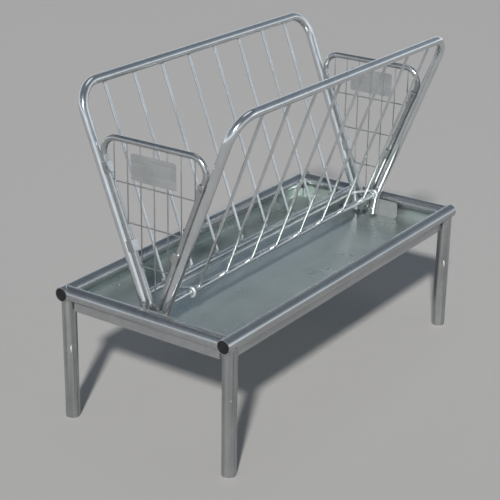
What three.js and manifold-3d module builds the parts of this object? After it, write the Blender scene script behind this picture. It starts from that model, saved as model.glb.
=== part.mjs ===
// Hay feeder: a tubular table frame with a sheet tray and a V-shaped hay rack over it.
// Millimetres, +Z up. X runs along the feeder, Y across it, origin on the ground under the middle.
import * as THREE from 'three';
import { mergeVertices } from 'three/addons/utils/BufferGeometryUtils.js';
import Module from 'manifold-3d';

const wasm = await Module();
wasm.setup();

// Table frame
const overallLength = 1805;
const axisWidth = 800;
const axisHeight = 562.5;
const frameTubeOuter = 60.3;
const frameTubeWall = 3;
const endTubeInset = 31;
const capFace = 4;
const capDepth = 24;
const capWall = 3;
const capFit = 0.4;

// Legs: a stub welded under each corner, its spigot held in the lower leg by a sunk screw
const legInset = 45;
const legOuter = 60.3;
const legWall = 3;
const spigotFit = 0.3;
const spigotWall = 3;
const spigotLength = 140;
const spigotShoulder = 40;
const legTopDrop = 219.5;
const legScrewDrop = 11;
const legScrewDiameter = 12;
const legScrewSunk = 1.5;
const legScrewReach = 6;
const legScrewHeading = 3.927;

// Tray
const trayDrop = 74;
const traySheet = 2;
const trayLegGap = 11;

// Rack sides: one bent hoop each, with a bottom rail and bars
const rackInset = 103.5;
const rackRise = 795;
const rackTopSpread = 374.5;
const railRise = 86.5;
const railSpread = 65;
const hoopTubeOuter = 38;
const hoopTubeWall = 2.5;
const hoopCorner = 112;
const footBendDrop = 19.5;
const footBendRadius = 150;
const railTubeOuter = 25;
const railTubeWall = 2;
const barCount = 8;
const barPitch = 180.5;
const barShift = 12;
const barDiameter = 12.5;
const barFootRadius = 9.5;
const barFootLength = 13;
const barFootTurn = 0.785;

// Foot plates and their bolts
const pivotSpread = 46;
const pivotRise = 34.5;
const footDrop = 22;
const pivotDiameter = 12;
const pivotHeadAcross = 19;
const pivotHeadHeight = 7.5;
const pivotNutHeight = 10;
const pivotTail = 4;
const footPlateThickness = 5;
const footPlateWidth = 328;
const footPlateHeight = 80;
const footPlateCorner = 15;
const footPlateClearance = 0.5;
const centreBoltDiameter = 10;
const centreBoltHeadAcross = 17;
const centreBoltHeadHeight = 6.4;

// End frames: an inverted U whose legs follow the hoops, with wire mesh and a bare plate
const endFrameDrop = 170.5;
const endFrameOuter = 25;
const endFrameWall = 2;
const endFrameCorner = 65;
const endFrameFootLap = 20;
const tongueInset = 2.3;
const tongueBite = 1.3;
const tongueBelow = 22;
const tongueAbove = 72;
const tongueCorner = 8;
const wireDiameter = 5;
const wirePitch = 64.5;
const wireSideCount = 3;
const wireDrops = [175.5, 335, 501];
const wireBite = 0.8;
const badgeWidth = 216;
const badgeHeight = 108;
const badgeThickness = 2;
const badgeDrop = 100;
const badgeCorner = 10;

// Clips that hold the end frame's legs to the hoops
const upperClipDrop = 125;
const upperClipDepth = 33;
const lowerClipRise = 202.5;
const lowerClipDepth = 38;
const clipLength = 46;
const clipWidth = 29;
const clipWall = 3.2;
const clipLugWidth = 16;
const clipLugReach = 14;

// Retaining bail, hooked round the front rail
const bailDiameter = 11;
const bailStartInset = 142;
const bailEndInset = 39;
const bailRestReach = 107.6;
const bailRestDrop = 12.9;
const bailCorner = 30;
const bailHookClearance = 0.8;
const bailHookAngle = 4.2;

// Fits and facets
const seatGap = 0.3;
const boltClearance = 0.4;
const overrun = 20;
const frameSides = 20;
const hoopSides = 16;
const railSides = 12;
const barSides = 8;
const wireSides = 6;
const bailSides = 8;
const boltSides = 10;
const hexSides = 6;
const plateCornerSteps = 3;
const hookSteps = 10;
const fineStepTurn = 0.32;
const coarseStepTurn = 0.42;

// Derived sizes of the frame
const halfLength = overallLength / 2;
const halfWidth = axisWidth / 2;
const frameRadius = frameTubeOuter / 2;
const endTubeReach = halfLength - endTubeInset;
const legReach = halfLength - legInset;
const legRadius = legOuter / 2;
const legInnerRadius = legRadius - legWall;
const spigotRadius = legInnerRadius - spigotFit;
const spigotInnerRadius = spigotRadius - spigotWall;
const legTop = axisHeight - legTopDrop;
const trayBottom = axisHeight - trayDrop;
const trayFloorTop = trayBottom + traySheet;

// Derived sizes of the rack
const rackReach = halfLength - rackInset;
const pivotHeight = trayFloorTop + pivotRise;
const railHeight = pivotHeight + railRise;
const rackTopHeight = railHeight + rackRise;
const footBendHeight = railHeight - footBendDrop;
const endFrameTop = rackTopHeight - endFrameDrop;
const tongueBottom = pivotHeight - tongueBelow;
const tongueTop = pivotHeight + tongueAbove;
const upperClipHeight = endFrameTop - upperClipDrop;
const lowerClipHeight = railHeight + lowerClipRise;
const badgeMiddle = endFrameTop - badgeDrop;
const hoopRadius = hoopTubeOuter / 2;
const railRadius = railTubeOuter / 2;
const barRadius = barDiameter / 2;
const rackLean = Math.atan((rackTopSpread - railSpread) / (rackTopHeight - railHeight));
const leanRun = Math.tan(rackLean);
const endFrameRadius = endFrameOuter / 2;
const endLegShift = (hoopRadius + endFrameRadius + seatGap) / Math.cos(rackLean);
const endFrameFootHeight = tongueTop - endFrameFootLap;
const tongueWidth = 2 * (rackSpreadAt(endFrameFootHeight) - endLegShift - tongueInset);
const bailStart = -rackReach + bailStartInset;
const bailEnd = rackReach - bailEndInset;
const footPlateInner = rackReach + hoopRadius + footPlateClearance;
const wireRadius = wireDiameter / 2;
const bailRadius = bailDiameter / 2;

// Finishes
const galvanised = { color: 0x9ea4a6, roughness: 0.42, metalness: 0.85 };
const brightZinc = { color: 0xb7bcbd, roughness: 0.35, metalness: 0.85 };
const traySheetFinish = { color: 0x7f8d91, roughness: 0.3, metalness: 0.8 };
const dullZinc = { color: 0x8f9393, roughness: 0.6, metalness: 0.6 };
const blackPlastic = { color: 0x1c1c1d, roughness: 0.6, metalness: 0 };

const feeder = new THREE.Group();

function addPart(name, geometry, finish, parent = feeder) {
  const mesh = new THREE.Mesh(geometry, new THREE.MeshStandardMaterial(finish));
  mesh.name = name;
  parent.add(mesh);
  return mesh;
}

// Solids from closed geometry, for cutting and joining
function toSolid(geometry) {
  const bare = geometry.clone();
  bare.deleteAttribute('normal');
  bare.deleteAttribute('uv');
  const welded = mergeVertices(bare);
  const vertProperties = new Float32Array(welded.attributes.position.array);
  const triVerts = new Uint32Array(welded.index.array);
  return new wasm.Manifold(new wasm.Mesh({ numProp: 3, vertProperties, triVerts }));
}

function toGeometry(solid) {
  const mesh = solid.getMesh();
  const geometry = new THREE.BufferGeometry();
  geometry.setAttribute('position', new THREE.BufferAttribute(new Float32Array(mesh.vertProperties), 3));
  geometry.setIndex(new THREE.BufferAttribute(new Uint32Array(mesh.triVerts), 1));
  return geometry;
}

function cut(geometry, ...cutters) {
  const left = cutters.reduce((solid, cutter) => solid.subtract(toSolid(cutter)), toSolid(geometry));
  return toGeometry(left);
}

function join(first, ...others) {
  return toGeometry(others.reduce((solid, piece) => solid.add(toSolid(piece)), toSolid(first)));
}

function circlePoints(radius, sides) {
  const points = [];
  for (let i = 0; i < sides; i += 1) {
    const angle = (2 * Math.PI * i) / sides;
    points.push(new THREE.Vector2(radius * Math.cos(angle), radius * Math.sin(angle)));
  }
  return points;
}

// A round section, hollow where it has an inner radius
function roundSection(outerRadius, innerRadius, sides) {
  const section = new THREE.Shape(circlePoints(outerRadius, sides));
  if (innerRadius > 0) section.holes.push(new THREE.Path(circlePoints(innerRadius, sides)));
  return section;
}

// A straight round run between two points
function run(from, to, outerRadius, innerRadius, sides) {
  const along = new THREE.Vector3().subVectors(to, from);
  const options = { depth: along.length(), bevelEnabled: false };
  const geometry = new THREE.ExtrudeGeometry(roundSection(outerRadius, innerRadius, sides), options);
  const up = new THREE.Vector3(0, 0, 1);
  geometry.applyQuaternion(new THREE.Quaternion().setFromUnitVectors(up, along.normalize()));
  geometry.translate(from.x, from.y, from.z);
  return geometry;
}

// A bent route: straight between its corners, with a tangent arc at each inner corner
class BentRoute extends THREE.Curve {
  constructor(corners, radii, stepTurn) {
    super();
    this.stations = [];
    const last = corners.length - 1;
    for (let i = 0; i <= last; i += 1) {
      if (i === 0 || i === last) {
        const from = Math.min(i, last - 1);
        const tangent = corners[from + 1].clone().sub(corners[from]).normalize();
        this.stations.push({ point: corners[i].clone(), tangent });
      } else {
        this.addArc(corners[i - 1], corners[i], corners[i + 1], radii[i - 1], stepTurn);
      }
    }
  }

  addArc(before, corner, after, radius, stepTurn) {
    const inward = corner.clone().sub(before).normalize();
    const outward = after.clone().sub(corner).normalize();
    const turn = inward.angleTo(outward);
    const steps = Math.ceil(turn / stepTurn);
    const start = corner.clone().addScaledVector(inward, -radius * Math.tan(turn / 2));
    const normal = outward.clone().addScaledVector(inward, -inward.dot(outward)).normalize();
    for (let k = 0; k <= steps; k += 1) {
      const angle = (turn * k) / steps;
      const point = start.clone()
        .addScaledVector(inward, radius * Math.sin(angle))
        .addScaledVector(normal, radius * (1 - Math.cos(angle)));
      const tangent = inward.clone().multiplyScalar(Math.cos(angle));
      tangent.addScaledVector(normal, Math.sin(angle));
      this.stations.push({ point, tangent });
    }
  }

  at(t) {
    return this.stations[Math.round(t * (this.stations.length - 1))];
  }

  getPointAt(t) {
    return this.at(t).point.clone();
  }

  getTangentAt(t) {
    return this.at(t).tangent.clone();
  }
}

function bentTube(corners, radii, outerRadius, innerRadius, sides, stepTurn = fineStepTurn) {
  const route = new BentRoute(corners, radii, stepTurn);
  const options = { steps: route.stations.length - 1, extrudePath: route, bevelEnabled: false };
  return new THREE.ExtrudeGeometry(roundSection(outerRadius, innerRadius, sides), options);
}

function point(x, y, z) {
  return new THREE.Vector3(x, y, z);
}

// A hexagon bar along X, and a round bar along X, for bolts and nuts
function hexRun(fromX, toX, y, z, across) {
  return run(point(fromX, y, z), point(toX, y, z), across / Math.sqrt(3), 0, hexSides);
}

function roundRun(fromX, toX, y, z, diameter) {
  return run(point(fromX, y, z), point(toX, y, z), diameter / 2, 0, boltSides);
}

// A flat plate standing square to X, with rounded corners
function roundedPlate(fromX, thickness, width, height, middleZ, radius) {
  const outline = new THREE.Shape();
  const w = width / 2;
  const h = height / 2;
  outline.absarc(w - radius, h - radius, radius, 0, Math.PI / 2);
  outline.absarc(-w + radius, h - radius, radius, Math.PI / 2, Math.PI);
  outline.absarc(-w + radius, -h + radius, radius, Math.PI, Math.PI * 1.5);
  outline.absarc(w - radius, -h + radius, radius, Math.PI * 1.5, Math.PI * 2);
  const options = { depth: thickness, bevelEnabled: false, curveSegments: plateCornerSteps };
  const geometry = new THREE.ExtrudeGeometry(outline, options);
  geometry.rotateX(Math.PI / 2);
  geometry.rotateZ(Math.PI / 2);
  geometry.translate(fromX, 0, middleZ);
  return geometry;
}

const sides = [{ name: 'front', sign: -1 }, { name: 'back', sign: 1 }];
const ends = [{ name: 'left', sign: -1 }, { name: 'right', sign: 1 }];

// Side tubes with their end caps
function sideRun(side, reach, outerRadius, innerRadius) {
  const y = side.sign * halfWidth;
  const from = point(-reach, y, axisHeight);
  return run(from, point(reach, y, axisHeight), outerRadius, innerRadius, frameSides);
}

function endRun(end, outerRadius, innerRadius) {
  const x = end.sign * endTubeReach;
  const from = point(x, -halfWidth, axisHeight);
  return run(from, point(x, halfWidth, axisHeight), outerRadius, innerRadius, frameSides);
}

function sideTubeCutter(side) {
  return sideRun(side, halfLength + overrun, frameRadius + seatGap, 0);
}

for (const side of sides) {
  const y = side.sign * halfWidth;
  const innerRadius = frameRadius - frameTubeWall;
  addPart(`side_tube_${side.name}`, sideRun(side, halfLength, frameRadius, innerRadius), galvanised);
  for (const end of ends) {
    const outer = innerRadius - capFit;
    const inner = outer - capWall;
    const outside = [[0, 0], [outer, 0], [outer, capDepth]];
    const inside = [[inner, capDepth], [inner, capFace], [0, capFace]];
    const profile = [...outside, ...inside].map(([radius, depth]) => new THREE.Vector2(radius, depth));
    const cap = new THREE.LatheGeometry(profile, frameSides);
    cap.rotateZ((end.sign * Math.PI) / 2);
    cap.translate(end.sign * halfLength, y, axisHeight);
    addPart(`tube_cap_${side.name}_${end.name}`, cap, blackPlastic);
  }
}

// End tubes, shaped to the side tubes they are welded between
for (const end of ends) {
  const tube = endRun(end, frameRadius, frameRadius - frameTubeWall);
  addPart(`end_tube_${end.name}`, cut(tube, ...sides.map(sideTubeCutter)), galvanised);
}

// Legs: the stub with its spigot, the lower leg and the sunk screw
const shoulderHeight = legTop + seatGap;
const stubOutside = [
  [spigotInnerRadius, legTop - spigotLength], [spigotRadius, legTop - spigotLength],
  [spigotRadius, shoulderHeight], [legRadius, shoulderHeight], [legRadius, axisHeight],
];
const stubInside = [
  [legInnerRadius, axisHeight], [legInnerRadius, legTop + spigotShoulder],
  [spigotInnerRadius, legTop + spigotShoulder], [spigotInnerRadius, legTop - spigotLength],
];
const stubProfile = [...stubOutside, ...stubInside].map(([radius, z]) => new THREE.Vector2(radius, z));

for (const side of sides) {
  for (const end of ends) {
    const x = end.sign * legReach;
    const y = side.sign * halfWidth;
    const heading = point(Math.cos(legScrewHeading), Math.sin(legScrewHeading), 0);
    const axis = point(x, y, legTop - legScrewDrop);
    const along = (distance) => axis.clone().addScaledVector(heading, distance);
    const holeRadius = legScrewDiameter / 2 + boltClearance;
    const hole = run(axis, along(legRadius + overrun), holeRadius, 0, boltSides);
    const stub = new THREE.LatheGeometry(stubProfile, frameSides);
    stub.rotateX(Math.PI / 2);
    stub.translate(x, y, 0);
    const endTubeCutter = endRun(end, frameRadius + seatGap, 0);
    const cutStub = cut(stub, sideTubeCutter(side), endTubeCutter, hole);
    addPart(`leg_stub_${side.name}_${end.name}`, cutStub, galvanised);
    const leg = run(point(x, y, 0), point(x, y, legTop), legRadius, legInnerRadius, frameSides);
    addPart(`leg_${side.name}_${end.name}`, cut(leg, hole), dullZinc);
    const screwStart = along(spigotInnerRadius - legScrewReach);
    const screw = run(screwStart, along(legRadius - legScrewSunk), legScrewDiameter / 2, 0, boltSides);
    addPart(`leg_bolt_${side.name}_${end.name}`, screw, brightZinc);
  }
}

// Tray: folded sheet hung under the tubes, stepped in round each leg
function trayOutline(inset) {
  const x = endTubeReach - inset;
  const y = halfWidth - inset;
  const notchX = legReach - legRadius - trayLegGap - inset;
  const notchY = halfWidth - legRadius - trayLegGap - inset;
  const quarter = [[x, 0], [x, notchY], [notchX, notchY], [notchX, y], [0, y]];
  const outline = new THREE.Shape();
  const mirrored = (list, sx, sy) => list.map(([px, py]) => new THREE.Vector2(sx * px, sy * py));
  const loop = [
    ...mirrored(quarter, 1, 1),
    ...mirrored(quarter, -1, 1).reverse(),
    ...mirrored(quarter, -1, -1),
    ...mirrored(quarter, 1, -1).reverse(),
  ];
  outline.setFromPoints(loop.filter((p, i) => p.distanceTo(loop[(i + 1) % loop.length]) > 0));
  return outline;
}

const trayTop = axisHeight - frameRadius - seatGap;
function trayBlock(inset, bottom, top) {
  const options = { depth: top - bottom, bevelEnabled: false };
  const block = new THREE.ExtrudeGeometry(trayOutline(inset), options);
  block.translate(0, 0, bottom);
  return block;
}

const trayOuter = trayBlock(-traySheet / 2, trayBottom, trayTop);
const trayInner = trayBlock(traySheet / 2, trayFloorTop, trayTop + overrun);
addPart('tray', cut(trayOuter, trayInner), traySheetFinish);

// Rack side line: how far from the middle the hoop's axis is at a height
function rackSpreadAt(z) {
  return railSpread + (z - railHeight) * leanRun;
}

function hoopCorners(side) {
  const s = side.sign;
  const foot = [s * pivotSpread, pivotHeight - footDrop];
  const knee = [s * rackSpreadAt(footBendHeight), footBendHeight];
  const corner = (x, [y, z]) => point(x, y, z);
  const top = [s * rackTopSpread, rackTopHeight];
  return [
    corner(-rackReach, foot), corner(-rackReach, knee), corner(-rackReach, top),
    corner(rackReach, top), corner(rackReach, knee), corner(rackReach, foot),
  ];
}

const hoopRadii = [footBendRadius, hoopCorner, hoopCorner, footBendRadius];

function pivotHole(end, side) {
  const from = end.sign * (rackReach - hoopRadius - overrun);
  const to = end.sign * (rackReach + hoopRadius + overrun);
  const holeDiameter = pivotDiameter + 2 * boltClearance;
  return roundRun(from, to, side.sign * pivotSpread, pivotHeight, holeDiameter);
}

for (const side of sides) {
  const s = side.sign;
  const hoop = bentTube(hoopCorners(side), hoopRadii, hoopRadius, hoopRadius - hoopTubeWall, hoopSides);
  addPart(`rack_hoop_${side.name}`, cut(hoop, ...ends.map((end) => pivotHole(end, side))), brightZinc);

  // Bottom rail between the hoop's arms
  const railY = s * railSpread;
  const rail = run(
    point(-rackReach, railY, railHeight), point(rackReach, railY, railHeight),
    railRadius, railRadius - railTubeWall, railSides,
  );
  const hoopCutter = bentTube(hoopCorners(side), hoopRadii, hoopRadius + seatGap, 0, hoopSides);
  addPart(`rack_rail_${side.name}`, cut(rail, hoopCutter), brightZinc);

  // Bars: welded under the top tube, their feet bent along the rail
  const upward = new THREE.Vector3(0, s * Math.sin(rackLean), Math.cos(rackLean));
  const railAxis = point(0, railY, railHeight);
  const topAxis = point(0, s * rackTopSpread, rackTopHeight);
  const footward = new THREE.Vector3(0, s * Math.sin(barFootTurn), Math.cos(barFootTurn));
  for (let i = 0; i < barCount; i += 1) {
    const x = (i - (barCount - 1) / 2) * barPitch - s * barShift;
    const top = topAxis.clone().addScaledVector(upward, -hoopRadius - seatGap).setX(x);
    const low = railAxis.clone().addScaledVector(footward, railRadius + barRadius + seatGap);
    const elbow = low.clone().setX(x);
    const toe = low.clone().setX(x - barFootRadius - barFootLength);
    const bar = bentTube([top, elbow, toe], [barFootRadius], barRadius, 0, barSides, coarseStepTurn);
    addPart(`rack_bar_${side.name}_${i + 1}`, bar, brightZinc);
  }
}

// End frames with their mesh, bare plate, tongue and clips
function endFrameCorners(end, footHeight) {
  const x = end.sign * rackReach;
  const legAt = (z) => rackSpreadAt(z) - endLegShift;
  return [
    point(x, -legAt(footHeight), footHeight), point(x, -legAt(endFrameTop), endFrameTop),
    point(x, legAt(endFrameTop), endFrameTop), point(x, legAt(footHeight), footHeight),
  ];
}

function endFrameRun(end, radius, footHeight) {
  const corners = endFrameCorners(end, footHeight);
  return bentTube(corners, [endFrameCorner, endFrameCorner], radius, 0, railSides);
}

// What clears an end frame's tube, and what bores it
function endFrameCutter(end, radius) {
  return endFrameRun(end, radius, endFrameFootHeight - overrun);
}

// The area inside an end frame's tube line, as a slab that trims the wires
function insideFrame(end) {
  const corners = endFrameCorners(end, endFrameFootHeight);
  const route = new BentRoute(corners, [endFrameCorner, endFrameCorner], fineStepTurn);
  const outline = new THREE.Shape(route.stations.map((at) => new THREE.Vector2(at.point.y, at.point.z)));
  const slab = new THREE.ExtrudeGeometry(outline, { depth: endFrameOuter, bevelEnabled: false });
  slab.rotateX(Math.PI / 2);
  slab.rotateZ(Math.PI / 2);
  slab.translate(end.sign * rackReach - endFrameRadius, 0, 0);
  return slab;
}

function endMesh(end) {
  const x = end.sign * rackReach;
  const crossX = x - end.sign * (wireDiameter - wireBite);
  const pieces = [];
  for (let i = -wireSideCount; i <= wireSideCount; i += 1) {
    const y = i * wirePitch;
    pieces.push(run(point(x, y, endFrameFootHeight), point(x, y, endFrameTop), wireRadius, 0, wireSides));
  }
  for (const drop of wireDrops) {
    const z = endFrameTop - drop;
    const reach = rackSpreadAt(z);
    pieces.push(run(point(crossX, -reach, z), point(crossX, reach, z), wireRadius, 0, wireSides));
  }
  const grid = toSolid(join(...pieces)).intersect(toSolid(insideFrame(end)));
  return toGeometry(grid.subtract(toSolid(endFrameCutter(end, endFrameRadius + seatGap))));
}

// A block round the end frame's leg, and the hoop's arm that it is seated against
function clipBlock(end, side, middle, depth) {
  const x = end.sign * rackReach;
  const block = new THREE.BoxGeometry(depth, clipWidth, clipLength);
  block.rotateX(-side.sign * rackLean);
  block.translate(x, side.sign * (rackSpreadAt(middle) - endLegShift), middle);
  const armY = (z) => side.sign * rackSpreadAt(z);
  const lowCut = middle - clipLength / 2 - overrun;
  const highCut = middle + clipLength / 2 + overrun;
  const armLow = point(x, armY(lowCut), lowCut);
  const armHigh = point(x, armY(highCut), highCut);
  return { block, arm: run(armLow, armHigh, hoopRadius + seatGap, 0, hoopSides) };
}

for (const end of ends) {
  const e = end.sign;
  const plateOuter = footPlateInner + footPlateThickness;
  const centreHoleDiameter = centreBoltDiameter + 2 * boltClearance;
  const holeFrom = e * (rackReach - overrun);
  const holeTo = e * (plateOuter + overrun);
  const centreHole = roundRun(holeFrom, holeTo, 0, pivotHeight, centreHoleDiameter);

  // The frame's tube, its lower collars and the tongue that carries it on the foot plate
  const bore = endFrameCutter(end, endFrameRadius - endFrameWall);
  const tongueOuter = footPlateInner - seatGap;
  const tongueInner = rackReach + endFrameRadius - tongueBite;
  const tongueX = e > 0 ? tongueInner : -tongueOuter;
  const tongueThickness = tongueOuter - tongueInner;
  const tongueMiddle = (tongueTop + tongueBottom) / 2;
  const tongueBlank = [tongueThickness, tongueWidth, tongueTop - tongueBottom, tongueMiddle, tongueCorner];
  const tongue = roundedPlate(tongueX, ...tongueBlank);
  const collars = sides.map((side) => clipBlock(end, side, lowerClipHeight, lowerClipDepth));
  const frameTube = endFrameRun(end, endFrameRadius, endFrameFootHeight);
  const frame = join(frameTube, tongue, ...collars.map(({ block }) => block));
  const arms = collars.map(({ arm }) => arm);
  addPart(`end_frame_${end.name}`, cut(frame, bore, centreHole, ...arms), galvanised);
  addPart(`end_mesh_${end.name}`, endMesh(end), dullZinc);

  const badgeFace = rackReach + wireRadius + seatGap;
  const badgeX = e > 0 ? badgeFace : -badgeFace - badgeThickness;
  const badge = roundedPlate(badgeX, badgeThickness, badgeWidth, badgeHeight, badgeMiddle, badgeCorner);
  addPart(`end_badge_${end.name}`, badge, dullZinc);

  // Foot plate outside the hoops' feet, drilled for its three bolts
  const plateX = e > 0 ? footPlateInner : -plateOuter;
  const plateMiddle = trayFloorTop + seatGap + footPlateHeight / 2;
  const plateBlank = [footPlateThickness, footPlateWidth, footPlateHeight, plateMiddle, footPlateCorner];
  const plate = roundedPlate(plateX, ...plateBlank);
  const plateHoles = sides.map((side) => pivotHole(end, side));
  addPart(`foot_plate_${end.name}`, cut(plate, centreHole, ...plateHoles), dullZinc);

  // Upper clips: a block on the leg with a lug, seated against the hoop's arm
  for (const side of sides) {
    const upper = clipBlock(end, side, upperClipHeight, upperClipDepth);
    const legY = side.sign * (rackSpreadAt(upperClipHeight) - endLegShift);
    const lug = new THREE.BoxGeometry(clipLugReach + endFrameRadius, clipWall, clipLugWidth);
    lug.translate(-e * (clipLugReach + endFrameRadius) / 2, 0, 0);
    lug.rotateX(-side.sign * rackLean);
    lug.translate(e * rackReach, legY, upperClipHeight);
    const legCutter = endFrameCutter(end, endFrameRadius + seatGap);
    const clip = cut(join(upper.block, lug), upper.arm, legCutter);
    addPart(`upper_clip_${side.name}_${end.name}`, clip, brightZinc);

    // Pivot bolt with its nut at the hoop's foot
    const y = side.sign * pivotSpread;
    const headStart = rackReach - hoopRadius - seatGap;
    const nutStart = plateOuter + seatGap;
    const tail = nutStart + pivotNutHeight + pivotTail;
    const headTop = headStart - pivotHeadHeight;
    const head = hexRun(e * headTop, e * headStart, y, pivotHeight, pivotHeadAcross);
    const shank = roundRun(e * headTop, e * tail, y, pivotHeight, pivotDiameter);
    const nut = hexRun(e * nutStart, e * (nutStart + pivotNutHeight), y, pivotHeight, pivotHeadAcross);
    addPart(`pivot_bolt_${side.name}_${end.name}`, join(head, shank, nut), brightZinc);
  }

  // Bolt with its nut through the tongue and the foot plate
  const headStart = tongueInner - seatGap;
  const nutStart = plateOuter + seatGap;
  const headTop = headStart - centreBoltHeadHeight;
  const nutEnd = nutStart + centreBoltHeadHeight;
  const head = hexRun(e * headTop, e * headStart, 0, pivotHeight, centreBoltHeadAcross);
  const shank = roundRun(e * headTop, e * (nutEnd + pivotTail), 0, pivotHeight, centreBoltDiameter);
  const nut = hexRun(e * nutStart, e * nutEnd, 0, pivotHeight, centreBoltHeadAcross);
  addPart(`centre_bolt_${end.name}`, join(head, shank, nut), brightZinc);
}

// Retaining bail: a rod along the back rail, its two ends hooked round the front rail
const hookTop = railRadius + bailHookClearance + bailRadius;

class HookRoute extends THREE.Curve {
  constructor(x) {
    super();
    this.x = x;
  }

  angleAt(t) {
    return Math.PI / 2 + t * bailHookAngle;
  }

  getPointAt(t) {
    const angle = this.angleAt(t);
    return point(this.x, hookTop * Math.cos(angle), hookTop * Math.sin(angle));
  }

  getTangentAt(t) {
    const angle = this.angleAt(t);
    return point(0, -Math.sin(angle), Math.cos(angle));
  }
}

function bailHook(x) {
  const options = { steps: hookSteps, extrudePath: new HookRoute(x), bevelEnabled: false };
  return new THREE.ExtrudeGeometry(roundSection(bailRadius, 0, bailSides), options);
}

const bailLow = -bailRestDrop;
const bailRoute = [
  point(bailStart, 0, hookTop), point(bailStart, bailRestReach, bailLow),
  point(bailEnd, bailRestReach, bailLow), point(bailEnd, 0, hookTop),
];
const bailRod = bentTube(bailRoute, [bailCorner, bailCorner], bailRadius, 0, bailSides, coarseStepTurn);
const bail = join(bailRod, bailHook(bailStart), bailHook(bailEnd));
bail.translate(0, -railSpread, railHeight);
addPart('retaining_bail', bail, brightZinc);

export default feeder;
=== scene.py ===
import bpy, bmesh, math, random
from mathutils import Matrix, Vector


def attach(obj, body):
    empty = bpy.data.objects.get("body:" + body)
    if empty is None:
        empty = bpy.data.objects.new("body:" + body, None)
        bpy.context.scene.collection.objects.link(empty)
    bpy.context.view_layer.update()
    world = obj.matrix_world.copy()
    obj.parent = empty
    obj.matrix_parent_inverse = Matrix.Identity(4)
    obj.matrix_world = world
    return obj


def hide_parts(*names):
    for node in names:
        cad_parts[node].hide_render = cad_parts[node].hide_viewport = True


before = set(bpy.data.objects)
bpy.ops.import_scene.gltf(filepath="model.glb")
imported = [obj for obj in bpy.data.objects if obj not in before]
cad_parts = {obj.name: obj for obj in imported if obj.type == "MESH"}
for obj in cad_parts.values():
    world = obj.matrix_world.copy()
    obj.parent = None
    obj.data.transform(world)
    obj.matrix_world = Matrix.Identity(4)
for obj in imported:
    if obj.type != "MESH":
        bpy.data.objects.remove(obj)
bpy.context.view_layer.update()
print("frame loaded:", len(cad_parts), "nodes")

sides = {"front": -1, "back": 1}
ends = {"left": -1, "right": 1}

# the feeder's main lines, in metres, as the frame has them
table = {"halfLength": 0.9025, "halfWidth": 0.4, "height": 0.5625, "tube": 0.03015, "wall": 0.003,
         "endReach": 0.8715, "copeShare": 0.12}
legs = {"reach": 0.8575, "outer": 0.03015, "wall": 0.003, "split": 0.343, "seam": 0.0003,
        "spigot": 0.02685, "spigotWall": 0.003, "spigotFoot": 0.203, "shoulder": 0.383,
        "topSink": 0.012, "edge": 0.0004}
rack = {"reach": 0.799, "topHeight": 1.4065, "topSpread": 0.3745, "tube": 0.019, "wall": 0.0025,
        "corner": 0.112, "kneeHeight": 0.592, "kneeBend": 0.15, "footHeight": 0.503, "footSpread": 0.046,
        "rail": 0.0125, "railHeight": 0.6115, "railSpread": 0.065, "railShare": 0.8}
lean = math.atan((rack["topSpread"] - rack["railSpread"]) / (rack["topHeight"] - rack["railHeight"]))


def spreadAt(z):
    return rack["railSpread"] + (z - rack["railHeight"]) * math.tan(lean)


# sides of the round pieces
facets = {"frame": 56, "hoop": 44, "rail": 36, "endFrame": 32, "bar": 24, "rod": 20, "wire": 12,
          "cap": 48, "hole": 32, "socket": 6}
# turns in degrees past which an edge stays sharp in the shading, and the softened edges' own look
sharp = {"round": 38, "cap": 28, "flat": 20, "tray": 10, "weld": 60}
edging = {"steps": 2, "cornerSteps": 6, "turn": 1.2, "profile": 0.5}
mergeReach = 1e-6


def dress(bm, name, material, body, stands=(), sharpAngle=sharp["round"]):
    mesh = bpy.data.meshes.new(name)
    bm.to_mesh(mesh)
    bm.free()
    for face in mesh.polygons:
        face.use_smooth = True
    mesh.set_sharp_from_angle(angle=math.radians(sharpAngle))
    mesh.materials.append(material)
    piece = bpy.data.objects.new(name, mesh)
    bpy.context.scene.collection.objects.link(piece)
    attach(piece, body)
    if stands:
        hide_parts(*stands)
    return piece


def along(heading):
    return heading.to_track_quat("Z", "Y").to_matrix().to_4x4()


def vertsIn(geom):
    return [g for g in geom if isinstance(g, bmesh.types.BMVert)]


def edgesIn(geom):
    return [g for g in geom if isinstance(g, bmesh.types.BMEdge)]


# each item once, in the order they come
def unique(items):
    return list(dict.fromkeys(items))


def openRim(bm):
    return [edge for edge in bm.edges if edge.is_boundary]


def startRing(bm, centre, heading, radius, count):
    place = Matrix.Translation(centre) @ along(heading)
    made = bmesh.ops.create_circle(bm, cap_ends=False, radius=radius, segments=count, matrix=place)
    return unique(edge for vert in made["verts"] for edge in vert.link_edges)


def pushRing(bm, ring, move):
    out = bmesh.ops.extrude_edge_only(bm, edges=ring)
    bmesh.ops.translate(bm, verts=vertsIn(out["geom"]), vec=move)
    return edgesIn(out["geom"])


def turnRing(bm, ring, centre, axis, angle, steps):
    geom = ring + unique(vert for edge in ring for vert in edge.verts)
    spun = bmesh.ops.spin(bm, geom=geom, cent=centre, axis=axis, angle=angle, steps=steps)
    return edgesIn(spun["geom_last"])


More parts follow.
